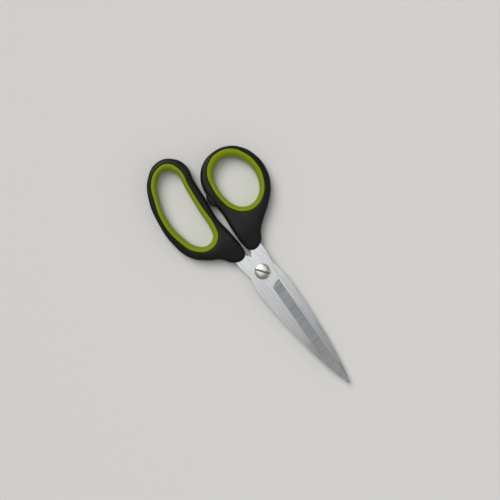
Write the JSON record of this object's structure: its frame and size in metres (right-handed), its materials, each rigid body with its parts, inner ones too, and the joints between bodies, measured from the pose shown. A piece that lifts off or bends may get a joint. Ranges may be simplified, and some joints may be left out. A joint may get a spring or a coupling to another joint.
{
  "type": "fabric shears",
  "caption": "Dressmaking shears with two long pointed blades on a screw pivot, black moulded handles and soft lime linings in a small thumb bow and a long finger bow.",
  "frame": {"origin": "where the pivot's axis meets the flat underside of the pivot nut", "axes": "+X along the closed blades towards the tips, +Y towards the thumb's bow, +Z along the pivot's axis towards the screw's head"},
  "size_m": [0.21, 0.0876, 0.0116],
  "materials": {
    "stainless_steel": "ground and polished",
    "bright_steel": "nickel plated",
    "white_nylon": "plain moulded",
    "black_plastic": "satin moulded",
    "black_rubber": "matt",
    "lime_rubber": "satin soft-touch"
  },
  "bodies": {
    "finger_half": {"finger_blade": "stainless_steel", "finger_handle": "black_plastic", "finger_bow_lining": "lime_rubber", "pivot_nut": "bright_steel"},
    "thumb_half": {"thumb_blade": "stainless_steel", "thumb_handle": "black_plastic", "thumb_bow_lining": "lime_rubber", "stop_bumper": "black_rubber", "pivot_bushing": "white_nylon", "bearing_washer": "white_nylon"},
    "tension_screw": {"pivot_screw": "bright_steel", "spring_washer": "bright_steel"}
  },
  "joints": [
    {"name": "blade_pivot", "type": "hinge", "parent": "finger_half", "child": "thumb_half", "pos_m": [0, 0, 0], "axis": [0, 0, -1], "range_deg": [0, 85]},
    {"name": "tension_adjust", "type": "hinge", "parent": "finger_half", "child": "tension_screw", "pos_m": [0, 0, 0], "axis": [0, 0, 1], "range_deg": [-30, 30]}
  ]
}
